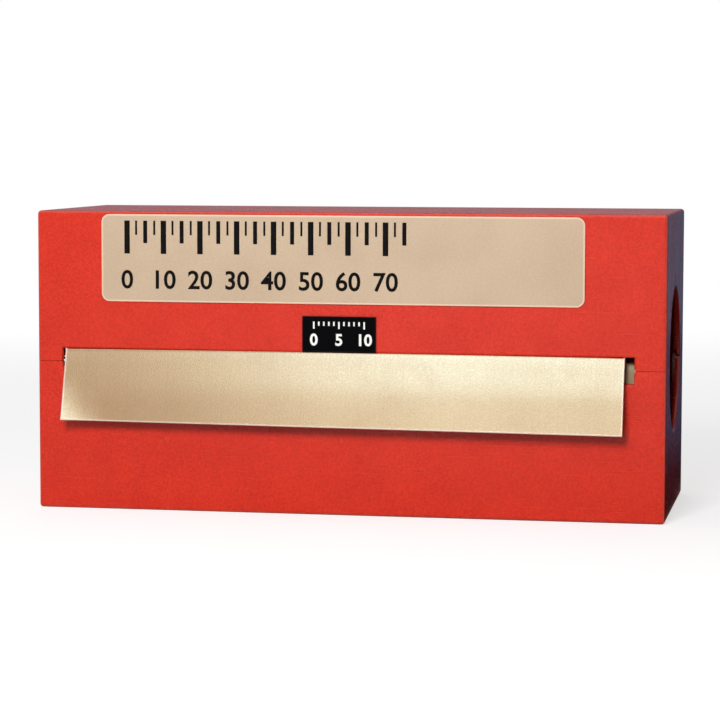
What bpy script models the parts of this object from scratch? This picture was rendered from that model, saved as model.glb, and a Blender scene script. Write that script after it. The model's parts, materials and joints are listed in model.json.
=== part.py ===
"""Shim stock dispenser: a hinged two-part plastic case that holds one coil of brass shim
foil. The foil's free end comes out of a slot in the front and hangs down as a tongue.

Run with: blender --background --python part.py
All lengths are metres, +Z is up, and the front of the case faces -Y. The origin is the
centre of the underside.
"""

import math

import bmesh
import bpy
from mathutils import Matrix, Vector
from mathutils.geometry import interpolate_bezier

# foil
foil_width = 0.150
foil_thickness = 0.0001

# case
case_side_play = 0.0073
case_depth = 0.064
case_height = 0.0802
base_height = 0.0398
case_wall = 0.002
case_edge_radius = 0.0009
case_inner_radius = 0.0008
parting_gap = 0.0003
lip_height = 0.0012
lip_thickness = 0.0008
lip_clearance = 0.0003

# openings of the case
slot_side_clearance = 0.0016
slot_height = 0.00685
slot_shift = -0.0006
slot_edge_radius = 0.0006
slot_corner_chamfer = 0.0006
finger_hole_radius = 0.01935
finger_hole_rise = 0.0008
finger_hole_edge_radius = 0.0007

# two snap hinges on the back of the case, each set in from its end of the case
hinge_inset = 0.0263
hinge_pin_radius = 0.0015
hinge_pin_clearance = 0.0003
hinge_barrel_radius = 0.0033
hinge_barrel_sweep = 225
hinge_wall_clearance = 0.0005
hinge_side_clearance = 0.0004
hinge_hook_width = 0.008
hinge_lug_width = 0.0045
hinge_web_height = 0.0070
hinge_web_root = 0.0005
hinge_mouth_width = 0.0024

# coil
coil_shift = 0.0013
coil_turns = 13
coil_turn_pitch = 0.00030
coil_end_relief = 0.00025
coil_end_inset = 0.0002
coil_seat_gap = 0.0003

# tongue: its lower edge hangs this far below the slot and stands this far off the front
tongue_shift = -0.0013
tongue_slot_gap = 0.0003
tongue_bend_radius = 0.0005
tongue_drop_left = 0.0189
tongue_drop_right = 0.0198
tongue_standoff_left = 0.0062
tongue_standoff_right = 0.0063

# how the tongue bows: shares of its standoff and drop, from the slot to its lower edge
tongue_bow_left = ((0.23, 0.22), (0.50, 0.55), (0.71, 0.73), (1.0, 1.0))
tongue_bow_right = ((0.39, 0.25), (0.66, 0.50), (0.87, 0.76), (1.0, 1.0))

# how deep the outermost turn's hidden start lies in the coil
turn_start_depth = 0.0002

# labels on the front of the lid
label_thickness = 0.00025
label_gap = 0.0002
label_center_x = -0.0016
label_spacing = 0.0032
size_label_width = 0.1294
size_label_radius = 0.0022
size_label_top_margin = 0.0008
gauge_label_width = 0.0198
gauge_label_height = 0.0094
gauge_label_radius = 0.0003
gauge_label_slot_margin = 0.00025

# fineness of the round shapes
edge_segments = 3
hole_sides = 64
barrel_sides = 32
coil_steps = 48
coil_facet_lead = 0.8
corner_steps = 6
flare_steps = 3
wrap_steps = 44
tongue_rows = 24
tongue_columns = 6
sharp_angle = 35
weld_distance = 0.00001
cutter_reach = 0.010

# worked out from the sizes above
case_width = foil_width + 2 * (case_side_play + case_wall)
front_y = -case_depth / 2
rear_y = case_depth / 2
parting_z = base_height
base_top = parting_z - parting_gap / 2
lid_bottom = parting_z + parting_gap / 2
slot_width = foil_width + 2 * slot_side_clearance
slot_top = parting_z + slot_height / 2
wrapped_radius = case_depth / 2 - case_wall - coil_seat_gap
coil_outer_radius = wrapped_radius - foil_thickness
coil_inner_radius = coil_outer_radius - coil_turns * coil_turn_pitch
coil_center_z = case_wall + coil_seat_gap + wrapped_radius
finger_hole_z = parting_z + finger_hole_rise
hinge_y = rear_y + hinge_barrel_radius + hinge_wall_clearance
hinge_positions = (hinge_inset - case_width / 2, case_width / 2 - hinge_inset)
gauge_label_top = slot_top + gauge_label_slot_margin + gauge_label_height
size_label_top = case_height - size_label_top_margin
size_label_height = size_label_top - gauge_label_top - label_spacing


def clear_scene():
    for obj in list(bpy.data.objects):
        bpy.data.objects.remove(obj, do_unlink=True)


def make_collection(name):
    collection = bpy.data.collections.new(name)
    bpy.context.scene.collection.children.link(collection)
    return collection


def make_material(name, color, roughness, metallic):
    material = bpy.data.materials.new(name)
    material.use_nodes = True
    shader = material.node_tree.nodes["Principled BSDF"]
    shader.inputs["Base Color"].default_value = (*color, 1.0)
    shader.inputs["Roughness"].default_value = roughness
    shader.inputs["Metallic"].default_value = metallic
    material.diffuse_color = (*color, 1.0)
    return material


def add_block(name, low, high, collection):
    """Rectangular block between two corners, with its place in its mesh."""
    size = Vector(high) - Vector(low)
    middle = (Vector(high) + Vector(low)) / 2
    mesh = bpy.data.meshes.new(name)
    bm = bmesh.new()
    bmesh.ops.create_cube(bm, size=1.0)
    bmesh.ops.scale(bm, vec=size, verts=bm.verts)
    bmesh.ops.translate(bm, vec=middle, verts=bm.verts)
    bm.to_mesh(mesh)
    bm.free()
    obj = bpy.data.objects.new(name, mesh)
    collection.objects.link(obj)
    return obj


def round_block_edges(obj, radius):
    bm = bmesh.new()
    bm.from_mesh(obj.data)
    bmesh.ops.bevel(bm, geom=list(bm.edges), offset=radius, affect='EDGES', profile=0.5,
                    segments=edge_segments, material=-1)
    bm.to_mesh(obj.data)
    bm.free()


def add_bar(name, radius, x_low, x_high, y, z, sides, collection):
    """Round bar along X, with its place in its mesh."""
    mesh = bpy.data.meshes.new(name)
    bm = bmesh.new()
    bmesh.ops.create_cone(bm, cap_ends=True, segments=sides, radius1=radius,
                          radius2=radius, depth=x_high - x_low)
    bmesh.ops.rotate(bm, verts=bm.verts, matrix=Matrix.Rotation(math.radians(90), 3, 'Y'))
    bmesh.ops.translate(bm, verts=bm.verts, vec=((x_low + x_high) / 2, y, z))
    bm.to_mesh(mesh)
    bm.free()
    obj = bpy.data.objects.new(name, mesh)
    collection.objects.link(obj)
    return obj


def add_turned(name, profile, steps, matrix, closed, collection):
    """Turned body about its Z axis from radius and height pairs, outer side downwards."""
    mesh = bpy.data.meshes.new(name)
    bm = bmesh.new()
    verts = [bm.verts.new((radius, 0.0, height)) for radius, height in profile]
    following = verts[1:] + verts[:1] if closed else verts[1:]
    for first, second in zip(verts, following):
        bm.edges.new((first, second))
    bm.to_mesh(mesh)
    bm.free()
    obj = bpy.data.objects.new(name, mesh)
    collection.objects.link(obj)
    obj.matrix_world = matrix
    screw = obj.modifiers.new("turned", 'SCREW')
    screw.axis = 'Z'
    screw.steps = steps
    screw.render_steps = steps
    screw.use_merge_vertices = True
    screw.merge_threshold = weld_distance
    screw.use_smooth_shade = False
    return obj


def add_plate(name, outline, thickness, matrix, collection):
    """Flat plate from a closed outline, made as a filled 2D curve and then a mesh."""
    curve = bpy.data.curves.new(name, 'CURVE')
    curve.dimensions = '2D'
    curve.fill_mode = 'BOTH'
    curve.extrude = thickness / 2
    spline = curve.splines.new('POLY')
    spline.points.add(len(outline) - 1)
    for point, (u, v) in zip(spline.points, outline):
        point.co = (u, v, 0.0, 1.0)
    spline.use_cyclic_u = True
    source = bpy.data.objects.new(name + "_curve", curve)
    collection.objects.link(source)
    source.matrix_world = matrix
    bpy.context.view_layer.update()
    depsgraph = bpy.context.evaluated_depsgraph_get()
    mesh = bpy.data.meshes.new_from_object(source.evaluated_get(depsgraph))
    bm = bmesh.new()
    bm.from_mesh(mesh)
    bmesh.ops.remove_doubles(bm, verts=bm.verts, dist=weld_distance)
    bm.transform(matrix)
    bm.to_mesh(mesh)
    bm.free()
    mesh.name = name
    obj = bpy.data.objects.new(name, mesh)
    collection.objects.link(obj)
    bpy.data.objects.remove(source, do_unlink=True)
    return obj


def apply_boolean(target, tool, operation):
    modifier = target.modifiers.new(operation.lower(), 'BOOLEAN')
    modifier.operation = operation
    modifier.solver = 'EXACT'
    modifier.object = tool


def as_cutter(obj):
    obj.display_type = 'WIRE'
    obj.hide_render = True


def shade_round(obj):
    obj.data.shade_smooth()
    obj.data.set_sharp_from_angle(angle=math.radians(sharp_angle))


def settle_shape(obj):
    """Make the object's modifiers and its place part of its mesh."""
    bpy.context.view_layer.update()
    depsgraph = bpy.context.evaluated_depsgraph_get()
    mesh = bpy.data.meshes.new_from_object(obj.evaluated_get(depsgraph))
    mesh.transform(obj.matrix_world)
    obj.modifiers.clear()
    obj.matrix_world = Matrix.Identity(4)
    obj.data = mesh


def rounded_rectangle(width, height, radius):
    """Outline of a rectangle about the origin, with an arc at each corner."""
    points = []
    corners = ((1, 1, 0), (-1, 1, 90), (-1, -1, 180), (1, -1, 270))
    for side_u, side_v, start in corners:
        center_u = side_u * (width / 2 - radius)
        center_v = side_v * (height / 2 - radius)
        for step in range(corner_steps + 1):
            angle = math.radians(start + 90 * step / corner_steps)
            points.append((center_u + radius * math.cos(angle),
                           center_v + radius * math.sin(angle)))
    return points


def flare_profile(radius):
    """Depth below the face and widening of an opening whose edge is rounded."""
    steps = []
    for step in range(flare_steps + 1):
        angle = math.radians(90) * step / flare_steps
        steps.append((radius * (1 - math.sin(angle)), radius * (1 - math.cos(angle))))
    return steps


def make_slot_cutter(cutters):
    """Slot through the front wall that widens in a round at the front face."""
    name = "cut_slot"
    half_width = slot_width / 2
    half_height = slot_height / 2
    mesh = bpy.data.meshes.new(name)
    bm = bmesh.new()
    bmesh.ops.create_grid(bm, x_segments=1, y_segments=1, size=1.0)
    faces = list(bm.faces)
    rings = [(front_y + case_wall + parting_gap, 0.0)]
    rings += [(front_y + depth, widening)
              for depth, widening in flare_profile(slot_edge_radius)]
    rings.append((front_y - cutter_reach, slot_edge_radius))
    for index, (y, widening) in enumerate(rings):
        if index:
            grown = bmesh.ops.extrude_face_region(bm, geom=faces)["geom"]
            if index > 1:
                bmesh.ops.delete(bm, geom=faces, context='FACES_ONLY')
            faces = [item for item in grown if isinstance(item, bmesh.types.BMFace)]
        for vert in {vert for face in faces for vert in face.verts}:
            side_x = math.copysign(1.0, vert.co.x - slot_shift)
            side_z = math.copysign(1.0, vert.co.y if index == 0 else vert.co.z - parting_z)
            vert.co = (slot_shift + side_x * (half_width + widening), y,
                       parting_z + side_z * (half_height + widening))
    bmesh.ops.recalc_face_normals(bm, faces=bm.faces)
    bm.to_mesh(mesh)
    bm.free()
    slot = bpy.data.objects.new(name, mesh)
    cutters.objects.link(slot)
    return slot


def make_slot_corner_cutter(side, cutters):
    """Square bar on edge that chamfers both halves where the parting meets the slot."""
    name = "cut_slot_corner_l" if side < 0 else "cut_slot_corner_r"
    reach = slot_corner_chamfer * math.sqrt(2)
    bar = add_block(name, (-reach / 2, -case_wall, -reach / 2),
                    (reach / 2, case_wall + parting_gap, reach / 2), cutters)
    place = Matrix.Translation((slot_shift + side * slot_width / 2, front_y, parting_z))
    bar.data.transform(place @ Matrix.Rotation(math.radians(45), 4, 'Y'))
    return bar


def make_finger_hole_cutter(cutters):
    """Turned bar along X through both side walls, flared at the outer faces."""
    half_x = case_width / 2
    outer = finger_hole_radius + finger_hole_edge_radius
    flare = [(finger_hole_radius + widening, half_x - depth)
             for depth, widening in flare_profile(finger_hole_edge_radius)]
    upper = [(outer, half_x + cutter_reach)] + list(reversed(flare))
    lower = [(radius, -height) for radius, height in reversed(upper)]
    profile = [(0.0, half_x + cutter_reach)] + upper + lower
    profile.append((0.0, -half_x - cutter_reach))
    place = Matrix.Translation((0.0, 0.0, finger_hole_z))
    turn = place @ Matrix.Rotation(math.radians(90), 4, 'Y')
    return add_turned("cut_finger_holes", profile, hole_sides, turn, False, cutters)


def make_case_cutters(cutters):
    """Cutters that the two halves share: cavity, slot, slot corners and finger holes."""
    half_x = case_width / 2
    cavity = add_block("cut_cavity",
                       (-half_x + case_wall, front_y + case_wall, case_wall),
                       (half_x - case_wall, rear_y - case_wall, case_height - case_wall),
                       cutters)
    round_block_edges(cavity, case_inner_radius)
    tools = [cavity, make_slot_cutter(cutters), make_slot_corner_cutter(-1, cutters),
             make_slot_corner_cutter(1, cutters), make_finger_hole_cutter(cutters)]
    for tool in tools:
        as_cutter(tool)
    return tools


def lip_outline(clearance):
    """Half width and half depth of the locating lip's outer outline."""
    inset = case_wall - lip_thickness - clearance
    return case_width / 2 - inset, case_depth / 2 - inset


def make_case_block(name, material, parts):
    block = add_block(name, (-case_width / 2, front_y, 0.0),
                      (case_width / 2, rear_y, case_height), parts)
    round_block_edges(block, case_edge_radius)
    block.data.materials.append(material)
    return block


def hinge_outline(side):
    """Lug outline in the YZ plane about the hinge axis: a barrel on a web that runs to the
    back wall. side is +1 for the lid's lugs, above the axis, and -1 for the base's hooks."""
    wall = rear_y - hinge_y - hinge_web_root
    web = [(wall, side * hinge_web_height), (wall, side * parting_gap / 2)]
    points = []
    start = math.radians(180)
    sweep = math.radians(side * hinge_barrel_sweep)
    steps = barrel_sides * hinge_barrel_sweep // 360
    for step in range(steps + 1):
        angle = start + sweep * step / steps
        points.append((hinge_barrel_radius * math.cos(angle),
                       hinge_barrel_radius * math.sin(angle)))
    return web + points


def add_hinge_plate(name, outline, x, width, collection):
    turn = Matrix(((0, 0, 1, x), (1, 0, 0, hinge_y), (0, 1, 0, parting_z), (0, 0, 0, 1)))
    return add_plate(name, outline, width, turn, collection)


def make_base(material, parts, cutters, shared_tools):
    base = make_case_block("box_base", material, parts)

    above = add_block("cut_above_base",
                      (-case_width, -case_depth, base_top + lip_height),
                      (case_width, case_depth, case_height + cutter_reach), cutters)
    apply_boolean(base, above, 'DIFFERENCE')

    plug_x, plug_y = lip_outline(0.0)
    plug = add_block("cut_lip_plug", (-plug_x, -plug_y, base_top - cutter_reach),
                     (plug_x, plug_y, case_height + cutter_reach), cutters)
    rebate = add_block("cut_base_rebate", (-case_width, -case_depth, base_top),
                       (case_width, case_depth, base_top + 2 * lip_height), cutters)
    apply_boolean(rebate, plug, 'DIFFERENCE')
    apply_boolean(base, rebate, 'DIFFERENCE')
    for tool in shared_tools:
        apply_boolean(base, tool, 'DIFFERENCE')
    for tool in (above, plug, rebate):
        as_cutter(tool)

    bore_radius = hinge_pin_radius + hinge_pin_clearance
    for index, x in enumerate(hinge_positions):
        hook = add_hinge_plate(f"add_hook_{index}", hinge_outline(-1), x,
                               hinge_hook_width, cutters)
        bore = add_bar(f"cut_hook_bore_{index}", bore_radius, x - hinge_hook_width,
                       x + hinge_hook_width, hinge_y, parting_z, barrel_sides, cutters)
        mouth = add_block(f"cut_hook_mouth_{index}",
                          (x - hinge_hook_width, hinge_y - hinge_mouth_width / 2, parting_z),
                          (x + hinge_hook_width, hinge_y + hinge_mouth_width / 2,
                           parting_z + cutter_reach), cutters)
        apply_boolean(hook, bore, 'DIFFERENCE')
        apply_boolean(hook, mouth, 'DIFFERENCE')
        apply_boolean(base, hook, 'UNION')
        for tool in (hook, bore, mouth):
            as_cutter(tool)
    shade_round(base)
    return base


def make_lid(material, parts, cutters, shared_tools):
    lid = make_case_block("box_lid", material, parts)
    below = add_block("cut_below_lid", (-case_width, -case_depth, -cutter_reach),
                      (case_width, case_depth, lid_bottom), cutters)
    apply_boolean(lid, below, 'DIFFERENCE')
    room_x, room_y = lip_outline(lip_clearance)
    lip_room = add_block("cut_lip_room", (-room_x, -room_y, base_top),
                         (room_x, room_y, base_top + lip_height + lip_clearance), cutters)
    apply_boolean(lid, lip_room, 'DIFFERENCE')
    for tool in shared_tools:
        apply_boolean(lid, tool, 'DIFFERENCE')
    for tool in (below, lip_room):
        as_cutter(tool)

    lug_offset = hinge_hook_width / 2 + hinge_side_clearance + hinge_lug_width / 2
    for index, x in enumerate(hinge_positions):
        for side, tag in ((-1, "l"), (1, "r")):
            lug = add_hinge_plate(f"add_lug_{index}_{tag}", hinge_outline(1),
                                  x + side * lug_offset, hinge_lug_width, cutters)
            apply_boolean(lid, lug, 'UNION')
            as_cutter(lug)
        pin = add_bar(f"add_pin_{index}", hinge_pin_radius, x - lug_offset, x + lug_offset,
                      hinge_y, parting_z, barrel_sides, cutters)
        apply_boolean(lid, pin, 'UNION')
        as_cutter(pin)
    shade_round(lid)
    return lid


def coil_profile():
    """Half section of the coil, radius and height along its axis: the outer side runs down
    from the top, and both ends are ridged, with one ridge for each turn."""
    crest = foil_width / 2 - coil_end_inset
    valley = crest - coil_end_relief
    end = []
    for turn in range(coil_turns):
        radius = coil_outer_radius - turn * coil_turn_pitch
        end.append((radius, valley))
        end.append((radius - coil_turn_pitch / 2, crest))
    end.append((coil_inner_radius, valley))
    lower = [(radius, -height) for radius, height in end]
    return list(reversed(end)) + lower


def coil_point(angle, radius):
    """Point of the coil's section, the angle counted up and over from its front."""
    return Vector((-radius * math.cos(angle), coil_center_z + radius * math.sin(angle)))


def slot_entry():
    """Where the free end meets the slot: as far behind the front wall as the coil's front,
    and a little under the slot's upper edge."""
    return Vector((-wrapped_radius, slot_top - tongue_slot_gap))


def leave_angle():
    """Angle at which a straight run to the slot leaves the coil without a kink."""
    reach = slot_entry() - Vector((0.0, coil_center_z))
    rise = math.atan2(reach.y, -reach.x)
    return rise + math.acos(coil_outer_radius / reach.length)


def smooth_through(knots, rows):
    """Evenly spaced points on a smooth curve through the knots."""
    tangents = []
    for index in range(len(knots)):
        before = knots[max(index - 1, 0)]
        after = knots[min(index + 1, len(knots) - 1)]
        tangents.append((after - before).normalized())
    dense = [knots[0]]
    for index in range(len(knots) - 1):
        first, second = knots[index], knots[index + 1]
        reach = (second - first).length / 3
        span = interpolate_bezier(first, first + tangents[index] * reach,
                                  second - tangents[index + 1] * reach, second, rows * 2)
        dense.extend(span[1:])
    lengths = [0.0]
    for first, second in zip(dense, dense[1:]):
        lengths.append(lengths[-1] + (second - first).length)
    picked = []
    for row in range(1, rows + 1):
        target = lengths[-1] * row / rows
        nearest = min(range(len(lengths)), key=lambda item: abs(lengths[item] - target))
        picked.append(dense[nearest])
    return picked


def free_end_route(standoff, drop, bow):
    """Rows of the free end in the YZ plane: a run from the coil to the slot, a bend that
    fills the slot's flared upper edge, and the bowed tongue in front of the case."""
    entry = slot_entry()
    brow = Vector((front_y, slot_top))
    nose = Vector((front_y - tongue_bend_radius, slot_top - tongue_bend_radius))
    knots = [coil_point(leave_angle(), coil_outer_radius), entry, brow, nose]
    for standoff_share, drop_share in bow:
        knots.append(Vector((front_y - standoff * standoff_share,
                             slot_top - drop * drop_share)))
    return smooth_through(knots, tongue_rows)


def outer_turn_route():
    """Rows of the outermost turn, from its sunk start round the coil to where it leaves."""
    step_angle = math.radians(360) / coil_steps
    rows = []
    for step in range(wrap_steps, -1, -1):
        depth = turn_start_depth if step == wrap_steps else 0.0
        rows.append(coil_point(leave_angle() + step * step_angle,
                               coil_outer_radius - depth))
    return rows


def make_free_end(cutters):
    """Sheet of the outermost turn and the free end, thickened to the foil's gauge. The
    turn drifts sideways from the coil's place to the tongue's."""
    turn = outer_turn_route()
    left = turn + free_end_route(tongue_standoff_left, tongue_drop_left, tongue_bow_left)
    right = turn + free_end_route(tongue_standoff_right, tongue_drop_right,
                                  tongue_bow_right)
    rows = len(left) - 1
    mesh = bpy.data.meshes.new("add_free_end")
    bm = bmesh.new()
    bmesh.ops.create_grid(bm, x_segments=tongue_columns, y_segments=rows, size=0.5)
    for vert in bm.verts:
        across = vert.co.x + 0.5
        row = round((vert.co.y + 0.5) * rows)
        drift = min(row / wrap_steps, 1.0)
        shift = coil_shift + (tongue_shift - coil_shift) * drift
        section = left[row].lerp(right[row], across)
        vert.co = (shift + (across - 0.5) * foil_width, section.x, section.y)
    bm.to_mesh(mesh)
    bm.free()
    mesh.shade_smooth()
    free_end = bpy.data.objects.new("add_free_end", mesh)
    cutters.objects.link(free_end)
    solidify = free_end.modifiers.new("gauge", 'SOLIDIFY')
    solidify.thickness = foil_thickness
    solidify.offset = 0.0
    as_cutter(free_end)
    return free_end


def make_foil(material, parts, cutters):
    """The coil and its free end. The coil's facets nearly line up with the outermost
    turn's, which keeps that turn half sunk in the coil all the way round."""
    place = Matrix.Translation((coil_shift, 0.0, coil_center_z))
    lead = leave_angle() + math.radians(coil_facet_lead)
    turn = Matrix.Rotation(-lead, 4, 'X') @ Matrix.Rotation(math.radians(90), 4, 'Y')
    foil = add_turned("shim_foil", coil_profile(), coil_steps, place @ turn, True, parts)
    settle_shape(foil)
    shade_round(foil)
    foil.data.materials.append(material)
    apply_boolean(foil, make_free_end(cutters), 'UNION')
    return foil


def make_label(name, width, height, radius, center_z, material, parts):
    y = front_y - label_gap - label_thickness / 2
    stand = Matrix(((1, 0, 0, label_center_x), (0, 0, -1, y), (0, 1, 0, center_z),
                    (0, 0, 0, 1)))
    label = add_plate(name, rounded_rectangle(width, height, radius), label_thickness,
                      stand, parts)
    label.data.materials.append(material)
    return label


def build():
    clear_scene()
    parts = make_collection("shim_stock_roll")
    cutters = make_collection("cutters")
    red = make_material("red_plastic", (0.62, 0.035, 0.022), 0.32, 0.0)
    brass = make_material("shim_brass", (0.80, 0.62, 0.36), 0.30, 1.0)
    beige = make_material("size_label_film", (0.68, 0.55, 0.42), 0.45, 0.3)
    black = make_material("gauge_label_film", (0.01, 0.01, 0.01), 0.4, 0.0)

    shared_tools = make_case_cutters(cutters)
    make_base(red, parts, cutters, shared_tools)
    make_lid(red, parts, cutters, shared_tools)
    make_foil(brass, parts, cutters)
    make_label("size_label", size_label_width, size_label_height, size_label_radius,
               size_label_top - size_label_height / 2, beige, parts)
    make_label("thickness_label", gauge_label_width, gauge_label_height,
               gauge_label_radius, gauge_label_top - gauge_label_height / 2, black, parts)


build()
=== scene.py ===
import json
import math

import bmesh
import bpy
from mathutils import Matrix, Vector, noise


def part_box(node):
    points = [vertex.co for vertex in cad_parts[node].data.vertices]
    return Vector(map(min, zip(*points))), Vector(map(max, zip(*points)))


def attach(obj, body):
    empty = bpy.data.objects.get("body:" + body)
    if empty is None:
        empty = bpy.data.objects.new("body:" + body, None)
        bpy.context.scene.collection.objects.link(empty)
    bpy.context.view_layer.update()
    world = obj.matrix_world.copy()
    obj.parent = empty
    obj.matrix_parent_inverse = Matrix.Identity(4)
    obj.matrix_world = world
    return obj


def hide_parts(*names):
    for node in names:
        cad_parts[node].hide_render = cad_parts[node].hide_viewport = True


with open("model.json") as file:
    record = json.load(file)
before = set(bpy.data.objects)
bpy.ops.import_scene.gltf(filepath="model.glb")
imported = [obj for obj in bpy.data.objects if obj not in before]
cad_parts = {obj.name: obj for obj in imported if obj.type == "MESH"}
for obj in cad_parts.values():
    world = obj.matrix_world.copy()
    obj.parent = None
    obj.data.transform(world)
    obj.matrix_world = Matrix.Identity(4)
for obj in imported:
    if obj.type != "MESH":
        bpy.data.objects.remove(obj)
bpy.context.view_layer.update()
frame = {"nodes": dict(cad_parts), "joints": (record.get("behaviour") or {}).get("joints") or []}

print("Shim stock roll: frame loaded")


# Shader helpers

def mathNode(tree, operation, first, second=0.0, third=0.0):
    # inputs are sockets or plain numbers
    node = tree.nodes.new("ShaderNodeMath")
    node.operation = operation
    for index, value in enumerate((first, second, third)):
        feed(tree, value, node.inputs[index])
    return node.outputs["Value"]


def feed(tree, value, socket):
    if isinstance(value, bpy.types.NodeSocket):
        tree.links.new(value, socket)
    else:
        socket.default_value = value


def mixColor(tree, factor, first, second):
    node = tree.nodes.new("ShaderNodeMix")
    node.data_type = "RGBA"
    feed(tree, factor, node.inputs[0])
    feed(tree, first, node.inputs[6])
    feed(tree, second, node.inputs[7])
    return node.outputs[2]


def vectorNode(tree, operation, first, second=None):
    node = tree.nodes.new("ShaderNodeVectorMath")
    node.operation = operation
    tree.links.new(first, node.inputs[0])
    if second is not None:
        tree.links.new(second, node.inputs[1])
    return node.outputs["Value" if operation == "LENGTH" else "Vector"]


def splitAxes(tree, vector):
    node = tree.nodes.new("ShaderNodeSeparateXYZ")
    tree.links.new(vector, node.inputs["Vector"])
    return node.outputs


def ramp(tree, value, low, high, outLow=0.0, outHigh=1.0):
    # smooth step from low to high, clamped
    node = tree.nodes.new("ShaderNodeMapRange")
    node.interpolation_type = "SMOOTHSTEP"
    feed(tree, value, node.inputs["Value"])
    feed(tree, low, node.inputs["From Min"])
    feed(tree, high, node.inputs["From Max"])
    feed(tree, outLow, node.inputs["To Min"])
    feed(tree, outHigh, node.inputs["To Max"])
    return node.outputs["Result"]


def noiseNode(tree, vector, scale, detail=2.0, roughness=0.5):
    node = tree.nodes.new("ShaderNodeTexNoise")
    feed(tree, vector, node.inputs["Vector"])
    feed(tree, scale, node.inputs["Scale"])
    node.inputs["Detail"].default_value = detail
    node.inputs["Roughness"].default_value = roughness
    return node.outputs["Fac"]


def stretched(tree, vector, scale, turn=(0.0, 0.0, 0.0)):
    node = tree.nodes.new("ShaderNodeMapping")
    feed(tree, vector, node.inputs["Vector"])
    node.inputs["Rotation"].default_value = [math.radians(angle) for angle in turn]
    node.inputs["Scale"].default_value = scale
    return node.outputs["Vector"]


def newGroup(name, inputs, outputs):
    # inputs and outputs are (name, socket type) pairs
    tree = bpy.data.node_groups.new(name, "ShaderNodeTree")
    for label, kind in inputs:
        tree.interface.new_socket(name=label, in_out="INPUT", socket_type=kind)
    for label, kind in outputs:
        tree.interface.new_socket(name=label, in_out="OUTPUT", socket_type=kind)
    start = tree.nodes.new("NodeGroupInput")
    end = tree.nodes.new("NodeGroupOutput")
    return tree, start.outputs, end.inputs


def useGroup(tree, group, **values):
    # a group's inputs are given by name, with _ for a space
    node = tree.nodes.new("ShaderNodeGroup")
    node.node_tree = group
    for name, value in values.items():
        feed(tree, value, node.inputs[name.replace("_", " ")])
    return node.outputs


def newMaterial(name):
    material = bpy.data.materials.new(name)
    material.use_nodes = True
    tree = material.node_tree
    shader = tree.nodes["Principled BSDF"]
    position = tree.nodes.new("ShaderNodeTexCoord").outputs["Object"]
    return material, tree, shader, position


def bumpNode(tree, height, distance):
    node = tree.nodes.new("ShaderNodeBump")
    node.inputs["Strength"].default_value = 1.0
    node.inputs["Distance"].default_value = distance
    feed(tree, height, node.inputs["Height"])
    return node.outputs["Normal"]


def roughened(tree, base, masks, amounts):
    # each mask adds up to its amount to the base roughness
    for mask, amount in zip(masks, amounts):
        base = mathNode(tree, "MULTIPLY_ADD", mask, amount, base)
    return base


# Effects that several finishes share

def makeGrainGroup():
    # fine speckle of a moulded, rolled or printed surface, and slow blotches in it
    tree, given, put = newGroup("surfaceGrain",
                                [("Vector", "NodeSocketVector"), ("Scale", "NodeSocketFloat"),
                                 ("Blotch Scale", "NodeSocketFloat")],
                                [("Grain", "NodeSocketFloat"), ("Blotch", "NodeSocketFloat")])
    fine = noiseNode(tree, given["Vector"], given["Scale"], 3.0, 0.65)
    slow = noiseNode(tree, given["Vector"], given["Blotch Scale"], 2.0, 0.5)
    tree.links.new(ramp(tree, fine, 0.30, 0.70), put["Grain"])
    tree.links.new(ramp(tree, slow, 0.32, 0.68), put["Blotch"])
    return tree


def makeHandlingGroup():
    # hairline scratches, finger smudges and settled dust from use
    tree, given, put = newGroup("handlingMarks",
                                [("Vector", "NodeSocketVector"),
                                 ("Scratch Length", "NodeSocketFloat")],
                                [("Scratches", "NodeSocketFloat"),
                                 ("Smudges", "NodeSocketFloat"), ("Dust", "NodeSocketFloat")])
    lines = []
    for turn in ((8.0, 52.0, 15.0), (0.0, -33.0, 40.0), (20.0, 81.0, 28.0)):
        along = stretched(tree, given["Vector"], (70.0, 2400.0, 2400.0), turn)
        line = noiseNode(tree, along, given["Scratch Length"], 1.0, 0.4)
        lines.append(ramp(tree, line, 0.72, 0.77))
    both = mathNode(tree, "MAXIMUM", lines[0], lines[1])
    every = mathNode(tree, "MAXIMUM", both, lines[2])
    patch = ramp(tree, noiseNode(tree, given["Vector"], 26.0, 2.0), 0.46, 0.62)
    tree.links.new(mathNode(tree, "MULTIPLY", every, patch), put["Scratches"])
    smudge = noiseNode(tree, given["Vector"], 62.0, 3.0, 0.6)
    tree.links.new(ramp(tree, smudge, 0.50, 0.68), put["Smudges"])
    face = tree.nodes.new("ShaderNodeNewGeometry")
    upward = ramp(tree, splitAxes(tree, face.outputs["Normal"])["Z"], 0.55, 0.95)
    speck = ramp(tree, noiseNode(tree, given["Vector"], 950.0, 2.0, 0.7), 0.60, 0.70)
    tree.links.new(mathNode(tree, "MULTIPLY", upward, speck), put["Dust"])
    return tree


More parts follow.
